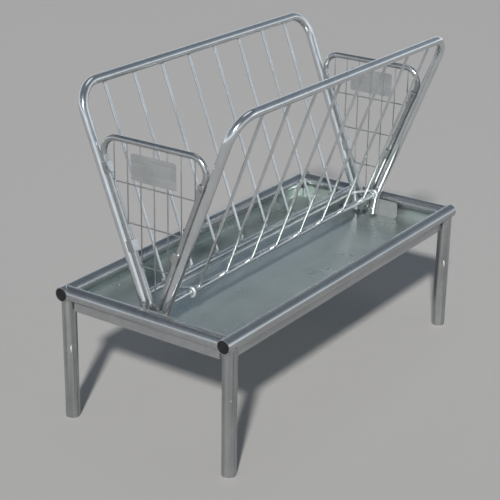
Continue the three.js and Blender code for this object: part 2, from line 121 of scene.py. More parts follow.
# a pipe or rod along straight runs, with a tangent bend at each inner corner
def bendPipe(bm, corners, bends, radius, count, stepTurn=0.1):
    corners = [Vector(c) for c in corners]
    here = corners[0]
    ring = startRing(bm, here, (corners[1] - here).normalized(), radius, count)
    for i in range(1, len(corners)):
        inward = (corners[i] - corners[i - 1]).normalized()
        if i == len(corners) - 1:
            pushRing(bm, ring, corners[i] - here)
            break
        outward = (corners[i + 1] - corners[i]).normalized()
        turn = inward.angle(outward)
        setBack = bends[i - 1] * math.tan(turn / 2)
        stop = corners[i] - inward * setBack
        ring = pushRing(bm, ring, stop - here)
        axis = inward.cross(outward).normalized()
        centre = stop + axis.cross(inward) * bends[i - 1]
        ring = turnRing(bm, ring, centre, axis, turn, max(2, math.ceil(turn / stepTurn)))
        here = corners[i] + outward * setBack


def closePipe(bm, wall=0.0):
    bmesh.ops.remove_doubles(bm, verts=bm.verts, dist=mergeReach)
    bmesh.ops.recalc_face_normals(bm, faces=bm.faces)
    if wall:
        bmesh.ops.solidify(bm, geom=bm.faces[:], thickness=wall)
    else:
        bmesh.ops.holes_fill(bm, edges=openRim(bm), sides=0)


def pipePiece(name, corners, bends, radius, material, body, stands, wall, count):
    bm = bmesh.new()
    bendPipe(bm, corners, bends, radius, count)
    closePipe(bm, wall)
    return dress(bm, name, material, body, stands)


def soften(bm, geom, offset, affect="EDGES", steps=edging["steps"]):
    bmesh.ops.bevel(bm, geom=geom, offset=offset, segments=steps, profile=edging["profile"],
                    affect=affect, material=-1)


# the edges round some vertices at which the faces turn
def crispEdges(verts):
    around = unique(edge for vert in verts for edge in vert.link_edges)
    return [edge for edge in around if edge.calc_face_angle(0) > edging["turn"]]


# a flat plate square to X with rounded corners and softened edges
def plateAt(bm, x, thickness, width, low, high, corner, edge):
    spots = [(x, -width / 2, low), (x, width / 2, low), (x, width / 2, high), (x, -width / 2, high)]
    before = set(bm.verts)
    face = bm.faces.new([bm.verts.new(s) for s in spots])
    soften(bm, list(face.verts), corner, "VERTICES", edging["cornerSteps"])
    flat = [f for f in bm.faces if not (set(f.verts) & before)]
    out = bmesh.ops.extrude_face_region(bm, geom=flat, use_keep_orig=True)
    bmesh.ops.translate(bm, verts=vertsIn(out["geom"]), vec=(thickness, 0, 0))
    fresh = [v for v in bm.verts if v not in before]
    bmesh.ops.recalc_face_normals(bm, faces=unique(f for v in fresh for f in v.link_faces))
    soften(bm, crispEdges(fresh), edge)


# a hexagon head or nut along a direction, with its outer corners turned off
def hexAt(bm, base, heading, across, height, cornerShare=0.16):
    place = Matrix.Translation(Vector(base) + heading * height / 2) @ along(heading)
    tip = across / math.sqrt(3)
    made = bmesh.ops.create_cone(bm, cap_ends=True, segments=6, radius1=tip, radius2=tip, depth=height,
                                 matrix=place)
    tips = [v for v in made["verts"] if (v.co - Vector(base)).dot(heading) > height / 2]
    soften(bm, tips, height * cornerShare, "VERTICES")


def rodAt(bm, base, heading, radius, length, count=facets["rod"], chamfer=0.0006):
    place = Matrix.Translation(Vector(base) + heading * length / 2) @ along(heading)
    made = bmesh.ops.create_cone(bm, cap_ends=True, segments=count, radius1=radius, radius2=radius,
                                 depth=length, matrix=place)
    soften(bm, crispEdges(made["verts"]), chamfer)


# a row of overlapping dabs, as a hand-laid weld leaves
dabs = {"least": 0.82, "most": 1.15, "stray": 0.12, "around": 8, "rings": 5}


def weldRow(bm, spots, size, seed, flat=0.75):
    rand = random.Random(seed)
    for spot in spots:
        grow = size * rand.uniform(dabs["least"], dabs["most"])
        shape = Matrix.Diagonal((grow, grow, grow * flat, 1))
        wobble = Vector([rand.uniform(-dabs["stray"], dabs["stray"]) * size for _ in range(3)])
        bmesh.ops.create_uvsphere(bm, u_segments=dabs["around"], v_segments=dabs["rings"], radius=1.0,
                                  matrix=Matrix.Translation(Vector(spot) + wobble) @ shape)


def circleOf(count):
    return [2 * math.pi * i / count for i in range(count)]


# a closed outline of (radius, height) turned full round an upright axis
def turnOutline(bm, outline, centre, count):
    spots = [bm.verts.new((centre[0] + radius, centre[1], height)) for radius, height in outline]
    lines = [bm.edges.new(pair) for pair in zip(spots, spots[1:] + spots[:1])]
    bmesh.ops.spin(bm, geom=spots + lines, cent=centre, axis=(0, 0, 1), angle=2 * math.pi, steps=count,
                   use_merge=True)
    bmesh.ops.remove_doubles(bm, verts=bm.verts, dist=mergeReach)
    bmesh.ops.recalc_face_normals(bm, faces=bm.faces)


# takes a hole out of a piece's mesh, and puts what is left in place of it
def drill(bm, base, heading, radius, length, count=facets["hole"]):
    body, bit = bpy.data.meshes.new("body"), bpy.data.meshes.new("bit")
    bm.to_mesh(body)
    tool = bmesh.new()
    place = Matrix.Translation(Vector(base) + heading * length / 2) @ along(heading)
    bmesh.ops.create_cone(tool, cap_ends=True, segments=count, radius1=radius, radius2=radius,
                          depth=length, matrix=place)
    tool.to_mesh(bit)
    tool.free()
    work, cutter = bpy.data.objects.new("work", body), bpy.data.objects.new("cutter", bit)
    for obj in (work, cutter):
        bpy.context.scene.collection.objects.link(obj)
    step = work.modifiers.new("hole", "BOOLEAN")
    step.object = cutter
    step.operation = "DIFFERENCE"
    step.solver = "EXACT"
    left = bpy.data.meshes.new_from_object(work.evaluated_get(bpy.context.evaluated_depsgraph_get()))
    bm.clear()
    bm.from_mesh(left)
    for obj in (work, cutter):
        bpy.data.objects.remove(obj)
    for mesh in (body, bit, left):
        bpy.data.meshes.remove(mesh)


# finishes: hot-dip zinc in several states, the retaining rod's a lighter copy with painted sunlit sheen,
# drawn in object coordinates
# its streaks run along the axis on which their scale is small
finishes = {
    "frameZinc": {"dark": (0.36, 0.375, 0.38), "mid": (0.42, 0.435, 0.44), "light": (0.48, 0.495, 0.50),
                  "metal": 0.9, "rough": (0.20, 0.27), "spangle": 95, "spangleShare": 0.025,
                  "cloud": 5, "streak": (1.6, 60, 60), "streakShare": 0.35, "grain": 420, "bump": 0.02},
    "legZinc": {"dark": (0.24, 0.25, 0.255), "mid": (0.34, 0.35, 0.355), "light": (0.46, 0.47, 0.47),
                "metal": 0.88, "rough": (0.26, 0.34), "spangle": 95, "spangleShare": 0.03,
                "cloud": 6, "streak": (75, 75, 2.0), "streakShare": 0.55, "grain": 420, "bump": 0.03},
    "rackZinc": {"dark": (0.53, 0.55, 0.56), "mid": (0.61, 0.63, 0.64), "light": (0.68, 0.70, 0.71),
                 "metal": 0.9, "rough": (0.15, 0.21), "spangle": 120, "spangleShare": 0.02,
                 "cloud": 6, "streak": (50, 50, 3), "streakShare": 0.25, "grain": 480, "bump": 0.015},
    "wireZinc": {"dark": (0.28, 0.29, 0.29), "mid": (0.34, 0.35, 0.35), "light": (0.40, 0.41, 0.41),
                 "metal": 0.85, "rough": (0.30, 0.40), "spangle": 160, "spangleShare": 0.03,
                 "cloud": 12, "streak": (40, 40, 4), "streakShare": 0.3, "grain": 600, "bump": 0.02},
    "plateZinc": {"dark": (0.25, 0.26, 0.265), "mid": (0.30, 0.31, 0.315), "light": (0.36, 0.37, 0.37),
                  "metal": 0.5, "rough": (0.42, 0.52), "spangle": 60, "spangleShare": 0.03,
                  "cloud": 9, "streak": (30, 6, 160), "streakShare": 0.35, "grain": 380, "bump": 0.04},
    "boltZinc": {"dark": (0.44, 0.445, 0.44), "mid": (0.54, 0.545, 0.54), "light": (0.66, 0.66, 0.65),
                 "metal": 0.9, "rough": (0.22, 0.34), "spangle": 160, "spangleShare": 0.04,
                 "cloud": 40, "streak": (60, 60, 60), "streakShare": 0.15, "grain": 700, "bump": 0.02},
    "weldZinc": {"dark": (0.46, 0.47, 0.47), "mid": (0.56, 0.57, 0.57), "light": (0.68, 0.69, 0.69),
                 "metal": 0.9, "rough": (0.22, 0.32), "spangle": 260, "spangleShare": 0.05,
                 "cloud": 50, "streak": (50, 50, 50), "streakShare": 0.2, "grain": 900, "bump": 0.04},
    # the retaining rod: a lighter, duller copy of the rack's zinc, its extra lightness a painted sunlit
    # sheen
    "rodZincPaintedSheen": {"dark": (0.66, 0.68, 0.69), "mid": (0.72, 0.74, 0.75), "light": (0.78, 0.80, 0.81),
                "metal": 0.5, "rough": (0.20, 0.28), "spangle": 160, "spangleShare": 0.02,
                "cloud": 10, "streak": (3, 60, 60), "streakShare": 0.25, "grain": 480, "bump": 0.015},
    "runZinc": {"dark": (0.60, 0.61, 0.61), "mid": (0.68, 0.69, 0.69), "light": (0.76, 0.77, 0.77),
                "metal": 0.25, "rough": (0.30, 0.40), "spangle": 260, "spangleShare": 0.03,
                "cloud": 60, "streak": (80, 80, 40), "streakShare": 0.2, "grain": 900, "bump": 0.05},
}


def addNode(tree, kind, **settings):
    node = tree.nodes.new(kind)
    for key, value in settings.items():
        setattr(node, key, value)
    return node


def newFinish(name):
    material = bpy.data.materials.new(name)
    material.use_nodes = True
    tree = material.node_tree
    spot = addNode(tree, "ShaderNodeTexCoord").outputs["Object"]
    return material, tree, tree.nodes["Principled BSDF"], spot


def noiseOf(tree, spot, scale, detail, roughness=0.5):
    noise = addNode(tree, "ShaderNodeTexNoise")
    noise.inputs["Scale"].default_value = scale
    noise.inputs["Detail"].default_value = detail
    noise.inputs["Roughness"].default_value = roughness
    tree.links.new(spot, noise.inputs["Vector"])
    return noise.outputs["Fac"]


def rampOf(tree, value, stops):
    ramp = addNode(tree, "ShaderNodeValToRGB")
    elements = ramp.color_ramp.elements
    elements[0].position = stops[0][0]
    elements[-1].position = stops[-1][0]
    for position, _ in stops[1:-1]:
        elements.new(position)
    for element, (_, colour) in zip(elements, stops):
        element.color = (*colour, 1)
    tree.links.new(value, ramp.inputs["Fac"])
    return ramp.outputs["Color"]


def rangeOf(tree, value, low, high, start=0, stop=1):
    span = addNode(tree, "ShaderNodeMapRange")
    for key, number in (("From Min", start), ("From Max", stop), ("To Min", low), ("To Max", high)):
        span.inputs[key].default_value = number
    tree.links.new(value, span.inputs["Value"])
    return span.outputs["Result"]


def mixOf(tree, first, second, share, kind="MIX"):
    mix = addNode(tree, "ShaderNodeMix", data_type="RGBA", blend_type=kind)
    mix.inputs[0].default_value = share
    tree.links.new(first, mix.inputs[6])
    tree.links.new(second, mix.inputs[7])
    return mix.outputs[2]


def bumpOf(tree, height, strength, distance, under=None):
    bump = addNode(tree, "ShaderNodeBump")
    bump.inputs["Strength"].default_value = strength
    bump.inputs["Distance"].default_value = distance
    tree.links.new(height, bump.inputs["Height"])
    if under is not None:
        tree.links.new(under, bump.inputs["Normal"])
    return bump.outputs["Normal"]


# the zinc's crystals, and a shade for each to multiply the colour by
def spangleOf(tree, spot, look):
    cells = addNode(tree, "ShaderNodeTexVoronoi")
    cells.inputs["Scale"].default_value = look["spangle"]
    tree.links.new(spot, cells.inputs["Vector"])
    parts = addNode(tree, "ShaderNodeSeparateColor")
    tree.links.new(cells.outputs["Color"], parts.inputs["Color"])
    return cells, rangeOf(tree, parts.outputs[0], 1 - look["spangleShare"], 1 + look["spangleShare"] / 2)


# what the zincs have in common
grading = {"cloudStops": (0.3, 0.5, 0.72), "cloudDetail": 5, "cloudRough": 0.6,
           "streakStops": (0.36, 0.64), "streakDetail": 4, "streakRelief": 0.4,
           "grainDetail": 3, "roughSpan": (0.3, 0.7), "relief": 0.001}


def zincFinish(name, look):
    material, tree, shader, spot = newFinish(name)
    link = tree.links.new
    shader.inputs["Metallic"].default_value = look["metal"]
    dark, mid, light = look["dark"], look["mid"], look["light"]
    cloud = noiseOf(tree, spot, look["cloud"], grading["cloudDetail"], grading["cloudRough"])
    tone = rampOf(tree, cloud, list(zip(grading["cloudStops"], (dark, mid, light))))
    stretch = addNode(tree, "ShaderNodeMapping")
    stretch.inputs["Scale"].default_value = look["streak"]
    link(spot, stretch.inputs["Vector"])
    streak = noiseOf(tree, stretch.outputs["Vector"], 1, grading["streakDetail"])
    streakTone = rampOf(tree, streak, list(zip(grading["streakStops"], (dark, light))))
    _, shade = spangleOf(tree, spot, look)
    colour = mixOf(tree, tone, streakTone, look["streakShare"])
    link(mixOf(tree, colour, shade, 1, "MULTIPLY"), shader.inputs["Base Color"])
    link(rangeOf(tree, streak, *look["rough"], *grading["roughSpan"]), shader.inputs["Roughness"])
    grain = noiseOf(tree, spot, look["grain"], grading["grainDetail"])
    heights = addNode(tree, "ShaderNodeMath", operation="MULTIPLY_ADD")
    heights.inputs[1].default_value = grading["streakRelief"]
    link(streak, heights.inputs[0])
    link(grain, heights.inputs[2])
    relief = bumpOf(tree, heights.outputs["Value"], look["bump"], grading["relief"])
    link(relief, shader.inputs["Normal"])
    return material


zinc = {name: zincFinish(name, look) for name, look in finishes.items()}
# the tray sheet: its greenish-teal colour is a painted sky reflection; its cloudy tone, spangle, dents
# and roughness are the sheet's own
paintedSkyTrayLook = {"dark": (0.43, 0.485, 0.47), "light": (0.50, 0.555, 0.54), "stops": (0.34, 0.68),
            "metal": 0.8, "rough": (0.26, 0.31), "cloud": 4, "cloudDetail": 3,
            "spangle": 48, "spangleShare": 0.03, "wave": 2.6, "waveHeight": 0.003,
            "dents": 0.3, "skin": 0.01}
capLook = {"dark": (0.008, 0.008, 0.009), "light": (0.02, 0.02, 0.021), "stops": (0.42, 0.8),
           "rough": (0.5, 0.66), "gloss": 0.25, "scuff": 60, "scuffDetail": 6,
           "grain": 900, "grainDetail": 2, "bump": 0.15, "grainHeight": 0.0006}


# builds the tray sheet, with the painted sky reflection as its base colour
def paintedSkyTrayFinish(look):
    material, tree, shader, spot = newFinish("paintedSkyTraySheet")
    link = tree.links.new
    shader.inputs["Metallic"].default_value = look["metal"]
    cloud = noiseOf(tree, spot, look["cloud"], look["cloudDetail"])
    tone = rampOf(tree, cloud, list(zip(look["stops"], (look["dark"], look["light"]))))
    cells, shade = spangleOf(tree, spot, look)
    link(mixOf(tree, tone, shade, 1, "MULTIPLY"), shader.inputs["Base Color"])
    link(rangeOf(tree, cloud, *look["rough"], *grading["roughSpan"]), shader.inputs["Roughness"])
    dents = bumpOf(tree, noiseOf(tree, spot, look["wave"], 1), look["dents"], look["waveHeight"])
    skin = bumpOf(tree, cells.outputs["Distance"], look["skin"], grading["relief"], dents)
    link(skin, shader.inputs["Normal"])
    return material


def capFinish(look):
    material, tree, shader, spot = newFinish("capPlastic")
    link = tree.links.new
    shader.inputs["Specular IOR Level"].default_value = look["gloss"]
    grain = noiseOf(tree, spot, look["grain"], look["grainDetail"])
    scuff = noiseOf(tree, spot, look["scuff"], look["scuffDetail"])
    tone = rampOf(tree, scuff, list(zip(look["stops"], (look["dark"], look["light"]))))
    link(tone, shader.inputs["Base Color"])
    link(rangeOf(tree, scuff, *look["rough"]), shader.inputs["Roughness"])
    link(bumpOf(tree, grain, look["bump"], look["grainHeight"]), shader.inputs["Normal"])
    return material


paintedSkyTraySheet = paintedSkyTrayFinish(paintedSkyTrayLook)
capPlastic = capFinish(capLook)
print("finishes made")

# camera: solved from the photograph's frame tubes, legs and rack
cameraFit = {"azimuth": -55.33, "elevation": 22.18, "roll": 0.87, "distance": 6.05554,
             "focalPixels": 1399.5, "imagePixels": 500, "aimPixel": (270.97, 241.36),
             "aimPoint": (0, 0, 0.6), "sensorWidth": 36, "farClip": 200}


def placeCamera(fit):
    a, e, r = (math.radians(fit[key]) for key in ("azimuth", "elevation", "roll"))
    back = Vector((math.sin(a) * math.cos(e), -math.cos(a) * math.cos(e), math.sin(e)))
    right = Vector((math.cos(a), math.sin(a), 0))
    up = back.cross(right)
    sideways = right * math.cos(r) + up * math.sin(r)
    upward = up * math.cos(r) - right * math.sin(r)
    half = fit["imagePixels"] / 2
    offX = (fit["aimPixel"][0] - half) * fit["distance"] / fit["focalPixels"]
    offY = (half - fit["aimPixel"][1]) * fit["distance"] / fit["focalPixels"]
    place = Vector(fit["aimPoint"]) - sideways * offX - upward * offY + back * fit["distance"]
    data = bpy.data.cameras.new("camera")
    data.sensor_width = fit["sensorWidth"]
    data.lens = fit["sensorWidth"] * fit["focalPixels"] / fit["imagePixels"]
    data.clip_end = fit["farClip"]
    camera = bpy.data.objects.new("camera", data)
    turn = Matrix((sideways, upward, back)).transposed().to_4x4()
    camera.matrix_world = Matrix.Translation(place) @ turn
    bpy.context.scene.collection.objects.link(camera)
    bpy.context.scene.camera = camera


placeCamera(cameraFit)

# lamps: an even key from the photograph's sun, a broad top light and a weak fill
sun = {"from": (-0.71, -0.374, 0.596), "power": 4.0, "spread": 0.07, "colour": (1.0, 0.98, 0.95)}
lamps = {
    "topLamp": {"at": (0.8, 0.4, 6.0), "size": 3.0, "power": 20, "colour": (0.97, 0.985, 1.0)},
    "fillLamp": {"at": (3.5, -5.2, 2.6), "size": 2.4, "power": 12, "colour": (0.96, 0.98, 1.0)},
}
# the world's bands are heights of the direction seen and their colours: pale at the horizon, dark above
surroundings = {"bands": [(0.0, (1.42, 1.51, 1.60)), (0.14, (1.28, 1.39, 1.50)),
                          (0.30, (0.38, 0.45, 0.53)), (0.75, (0.06, 0.09, 0.135))],
                "strength": 0.75, "floor": (0.40, 0.39, 0.38), "floorRough": 0.9, "floorReach": 60}


def lightScene():
    data = bpy.data.lights.new("keyLamp", "SUN")
    data.energy = sun["power"]
    data.angle = sun["spread"]
    data.color = sun["colour"]
    obj = bpy.data.objects.new("keyLamp", data)
    obj.rotation_euler = (-Vector(sun["from"])).to_track_quat("-Z", "Y").to_euler()
    bpy.context.scene.collection.objects.link(obj)
    for name, lamp in lamps.items():
        data = bpy.data.lights.new(name, "AREA")
        data.shape = "DISK"
        data.size = lamp["size"]
        data.energy = lamp["power"]
        data.color = lamp["colour"]
        obj = bpy.data.objects.new(name, data)
        obj.location = lamp["at"]
        aim = Vector(cameraFit["aimPoint"]) - Vector(lamp["at"])
        obj.rotation_euler = aim.to_track_quat("-Z", "Y").to_euler()
        bpy.context.scene.collection.objects.link(obj)
    world = bpy.data.worlds.new("surroundings")
    world.use_nodes = True
    tree = world.node_tree
    heading = addNode(tree, "ShaderNodeTexCoord").outputs["Generated"]
    parts = addNode(tree, "ShaderNodeSeparateXYZ")
    tree.links.new(heading, parts.inputs["Vector"])
    sky = tree.nodes["Background"]
    tree.links.new(rampOf(tree, parts.outputs["Z"], surroundings["bands"]), sky.inputs["Color"])
    sky.inputs["Strength"].default_value = surroundings["strength"]
    bpy.context.scene.world = world
    bpy.context.scene.view_settings.view_transform = "Standard"


def layFloor():
    bm = bmesh.new()
    bmesh.ops.create_grid(bm, x_segments=1, y_segments=1, size=surroundings["floorReach"])
    mesh = bpy.data.meshes.new("floor")
    bm.to_mesh(mesh)
    bm.free()
    material = bpy.data.materials.new("floorPaint")
    material.use_nodes = True
    shader = material.node_tree.nodes["Principled BSDF"]
    shader.inputs["Base Color"].default_value = (*surroundings["floor"], 1)
    shader.inputs["Roughness"].default_value = surroundings["floorRough"]
    mesh.materials.append(material)
    floor = bpy.data.objects.new("floor", mesh)
    bpy.context.scene.collection.objects.link(floor)


lightScene()
layFloor()
print("camera, lamps and floor set")


# table frame: side tubes, end tubes and their caps
caps = {"radius": 0.02675, "depth": 0.024, "rim": 0.0016, "rimShares": (0.35, 0.3), "dish": 0.0008,
        "hub": 0.017, "hubSlope": 0.001}


def makeTableFrame():
    for side, s in sides.items():
        y = s * table["halfWidth"]
        reach = table["halfLength"]
        pipePiece(f"{side}SideTube", [(-reach, y, table["height"]), (reach, y, table["height"])], [],
                  table["tube"], zinc["frameZinc"], "base", [f"side_tube_{side}"],
                  table["wall"], facets["frame"])
        for end, e in ends.items():
            makeCap(f"{side}{end.capitalize()}Cap", e, y, f"tube_cap_{side}_{end}")
    for end, e in ends.items():
        x = e * table["endReach"]
        inner = table["halfWidth"] - table["tube"] * table["copeShare"]
        pipePiece(f"{end}EndTube", [(x, -inner, table["height"]), (x, inner, table["height"])], [],
                  table["tube"], zinc["frameZinc"], "base", [f"end_tube_{end}"], 0,
                  facets["frame"])


def makeCap(name, e, y, node):
    r, rim = caps["radius"], caps["rim"]
    face = table["halfLength"]
    back, down = (rim * share for share in caps["rimShares"])
    profile = [(face - caps["dish"], 0), (face - caps["dish"], caps["hub"]),
               (face, caps["hub"] + caps["hubSlope"]), (face, r - rim), (face - back, r - down),
               (face - rim, r), (face - caps["depth"], r)]
    bm = bmesh.new()
    spots = [bm.verts.new((e * x, y + radius, table["height"])) for x, radius in profile]
    lines = [bm.edges.new(pair) for pair in zip(spots, spots[1:])]
    bmesh.ops.spin(bm, geom=spots + lines, cent=(0, y, table["height"]), axis=(1, 0, 0),
                   angle=2 * math.pi, steps=facets["cap"], use_merge=True)
    bmesh.ops.remove_doubles(bm, verts=bm.verts, dist=mergeReach)
    bmesh.ops.holes_fill(bm, edges=openRim(bm), sides=0)
    bmesh.ops.recalc_face_normals(bm, faces=bm.faces)
    dress(bm, name, capPlastic, "base", [node], sharp["cap"])


# legs: the stub with its spigot, the lower leg and the sunk screw with its hexagon socket
legScrew = {"height": 0.332, "heading": 3.927, "radius": 0.006, "hole": 0.0064, "holeReach": 0.05,
            "sunk": 0.0015, "start": 0.01785, "socket": 0.0068, "socketDepth": 0.007,
            "socketReach": 0.02}
screwHeading = Vector((math.cos(legScrew["heading"]), math.sin(legScrew["heading"]), 0))


def makeLegs():
    out, wall, split, edge = legs["outer"], legs["wall"], legs["split"], legs["edge"]
    spigotBore = legs["spigot"] - legs["spigotWall"]
    stubTop = table["height"] - legs["topSink"]
    shoulder = split + legs["seam"]
    stubOutline = [(spigotBore, legs["spigotFoot"]), (legs["spigot"], legs["spigotFoot"]),
                   (legs["spigot"], shoulder), (out - edge, shoulder), (out, shoulder + edge),
                   (out, stubTop), (out - wall, stubTop), (out - wall, legs["shoulder"]),
                   (spigotBore, legs["shoulder"])]
    legOutline = [(out - wall, 0), (out - edge, 0), (out, edge), (out, split - edge),
                  (out - edge, split), (out - wall, split)]
    for side, s in sides.items():
        for end, e in ends.items():
            spot = Vector((e * legs["reach"], s * table["halfWidth"], 0))
            centre = spot + Vector((0, 0, legScrew["height"]))
            tag = side + end.capitalize()
            pieces = {"Stub": (stubOutline, f"leg_stub_{side}_{end}"),
                      "Leg": (legOutline, f"leg_{side}_{end}")}
            for piece, (outline, node) in pieces.items():
                bm = bmesh.new()
                turnOutline(bm, outline, spot, facets["frame"])
                drill(bm, centre, screwHeading, legScrew["hole"], legScrew["holeReach"])
                dress(bm, tag + piece, zinc["legZinc"], "base", [node])
            makeLegScrew(f"{tag}LegScrew", centre, f"leg_bolt_{side}_{end}")


def makeLegScrew(name, centre, node):
    bm = bmesh.new()
    top = legs["outer"] - legScrew["sunk"]
    rodAt(bm, centre + screwHeading * legScrew["start"], screwHeading, legScrew["radius"],
          top - legScrew["start"], facets["bar"])
    drill(bm, centre + screwHeading * (top - legScrew["socketDepth"]), screwHeading,
          legScrew["socket"] / 2, legScrew["socketReach"], facets["socket"])
    dress(bm, name, zinc["boltZinc"], "base", [node], sharp["flat"])


# tray: folded sheet under the tubes, stepped in round the legs
tray = {"reach": 0.8715, "width": 0.4, "notchX": 0.818, "notchY": 0.3605, "bottom": 0.4885,
        "top": 0.53205, "sheet": 0.002, "fold": 0.004, "foldSteps": 3, "uprightShare": 0.5}


def makeTray():
    half = tray["sheet"] / 2
    x, y = tray["reach"] + half, tray["width"] + half
    nx, ny = tray["notchX"] + half, tray["notchY"] + half
    quarter = [(x, ny), (nx, ny), (nx, y)]
    outline = quarter + [(-px, py) for px, py in reversed(quarter)]
    outline += [(-px, -py) for px, py in quarter] + [(px, -py) for px, py in reversed(quarter)]
    bm = bmesh.new()
    floor = bm.faces.new([bm.verts.new((px, py, tray["bottom"])) for px, py in outline])
    floor.normal_update()
    if floor.normal.z > 0:
        floor.normal_flip()
    pushRing(bm, list(floor.edges), Vector((0, 0, tray["top"] - tray["bottom"])))
    folds = [edge for edge in bm.edges if len(edge.link_faces) == 2]
    soften(bm, folds, tray["fold"], steps=tray["foldSteps"])
    bmesh.ops.recalc_face_normals(bm, faces=bm.faces)
    lowest = min(bm.faces, key=lambda f: f.calc_center_median().z)
    if lowest.normal.z > 0:
        bmesh.ops.reverse_faces(bm, faces=bm.faces)
    bmesh.ops.solidify(bm, geom=bm.faces[:], thickness=tray["sheet"])
    bmesh.ops.triangulate(bm, faces=[f for f in bm.faces if len(f.verts) > 4])
    piece = dress(bm, "feedTray", paintedSkyTraySheet, "base", ["tray"], sharp["tray"])
    piece.data.materials.append(zinc["frameZinc"])  # the walls' outer faces look like the tubes
    # the inner faces and the floor keep the tray sheet with its painted sky reflection
    for face in piece.data.polygons:
        outward = face.normal.x * face.center.x + face.normal.y * face.center.y > 0
        if outward and abs(face.normal.z) < tray["uprightShare"]:
            face.material_index = 1


# rack sides: hoop, bottom rail and bars with bent feet
bars = {"count": 8, "pitch": 0.1805, "shift": 0.012, "radius": 0.00625, "bend": 0.0095, "toe": 0.013,
        "footTurn": 0.785, "gap": 0.0003}


def hoopLine(s):
    foot = (s * rack["footSpread"], rack["footHeight"])
    knee = (s * spreadAt(rack["kneeHeight"]), rack["kneeHeight"])
    top = (s * rack["topSpread"], rack["topHeight"])
    left = [(-rack["reach"], *spot) for spot in (foot, knee, top)]
    return left + [(rack["reach"], *spot) for spot in (top, knee, foot)]


def barLine(s, i):
    x = (i - (bars["count"] - 1) / 2) * bars["pitch"] - s * bars["shift"]
    upward = Vector((0, s * math.sin(lean), math.cos(lean)))
    footward = Vector((0, s * math.sin(bars["footTurn"]), math.cos(bars["footTurn"])))
    top = Vector((x, s * rack["topSpread"], rack["topHeight"])) - upward * (rack["tube"] + bars["gap"])
    elbow = Vector((x, s * rack["railSpread"], rack["railHeight"]))
    elbow += footward * (rack["rail"] + bars["radius"] + bars["gap"])
    toe = elbow - Vector((bars["bend"] + bars["toe"], 0, 0))
    return [top, elbow, toe]


def makeRackSides():
    for side, s in sides.items():
        body = f"rack_{side}"
        bends = [rack["kneeBend"], rack["corner"], rack["corner"], rack["kneeBend"]]
        pipePiece(f"{side}Hoop", hoopLine(s), bends, rack["tube"], zinc["rackZinc"], body,
                  [f"rack_hoop_{side}"], rack["wall"], facets["hoop"])
        y, z = s * rack["railSpread"], rack["railHeight"]
        reach = rack["reach"] - rack["tube"] * rack["railShare"]
        pipePiece(f"{side}Rail", [(-reach, y, z), (reach, y, z)], [], rack["rail"], zinc["rackZinc"],
                  body, [f"rack_rail_{side}"], 0, facets["rail"])
        for i in range(bars["count"]):
            pipePiece(f"{side}Bar{i + 1}", barLine(s, i), [bars["bend"]], bars["radius"],
                      zinc["rackZinc"], body, [f"rack_bar_{side}_{i + 1}"], 0,
                      facets["bar"])


makeTableFrame()
makeLegs()
makeTray()
makeRackSides()
print("table frame, legs, tray and rack sides made")

# end frames: bent tube, wire mesh, bare plate, tongue and clips
endFrame = {"top": 1.236, "tube": 0.0125, "wall": 0.002, "corner": 0.065, "foot": 0.577, "gap": 0.0003,
            "tongueWidth": 0.030, "tongueLow": 0.503, "tongueHigh": 0.597, "tongueInner": 0.8102,
            "tongueOuter": 0.8182, "tongueCorner": 0.008, "tongueEdge": 0.0008}
endFrame["shift"] = (rack["tube"] + endFrame["tube"] + endFrame["gap"]) / math.cos(lean)
wires = {"wire": 0.0025, "pitch": 0.0645, "sideCount": 3, "heights": (1.0605, 0.901, 0.735),
         "step": 0.0042, "turnShare": 0.66, "dipShare": 1.6, "footLift": 0.022, "edge": 0.0003}
badge = {"width": 0.216, "low": 1.082, "high": 1.190, "thickness": 0.002, "corner": 0.010,
         "face": 0.8018, "edge": 0.0004}
clips = {"upper": 1.111, "lower": 0.814, "length": 0.046, "width": 0.029, "wall": 0.0032,
         "upperDepth": 0.033, "lowerDepth": 0.038, "gap": 0.0003, "edge": 0.0012, "seatSteps": 4,
         "lugWidth": 0.016, "lugReach": 0.014, "lugRoot": 0.002, "lugEdge": 0.0006,
         "boltAcross": 0.013, "boltHead": 0.0053}
footPlate = {"inner": 0.8185, "thickness": 0.005, "width": 0.328, "low": 0.4908, "high": 0.5708,
             "corner": 0.015, "edge": 0.0008}
pivotBolts = {"spread": 0.046, "height": 0.525, "shank": 0.006, "across": 0.019, "head": 0.0075,
              "nut": 0.010, "tail": 0.004, "gap": 0.0003}
centreBolts = {"shank": 0.005, "across": 0.017, "head": 0.0064}


def endLegAt(z):
    return spreadAt(z) - endFrame["shift"]


def endFrameLine(e):
    x = e * rack["reach"]
    low, high = endLegAt(endFrame["foot"]), endLegAt(endFrame["top"])
    return [(x, -low, endFrame["foot"]), (x, -high, endFrame["top"]),
            (x, high, endFrame["top"]), (x, low, endFrame["foot"])]


def makeEndFrame(end, e):
    bm = bmesh.new()
    bendPipe(bm, endFrameLine(e), [endFrame["corner"]] * 2, endFrame["tube"], facets["endFrame"])
    closePipe(bm, endFrame["wall"])
    for s in sides.values():
        clipBlock(bm, e, s, clips["lower"], clips["lowerDepth"])
    inner = e * endFrame["tongueInner"]
    plateAt(bm, inner, e * (endFrame["tongueOuter"] - endFrame["tongueInner"]),
            endFrame["tongueWidth"], endFrame["tongueLow"], endFrame["tongueHigh"],
            endFrame["tongueCorner"], endFrame["tongueEdge"])
    dress(bm, f"{end}EndFrame", zinc["frameZinc"], "base", [f"end_frame_{end}"],
          sharp["flat"])


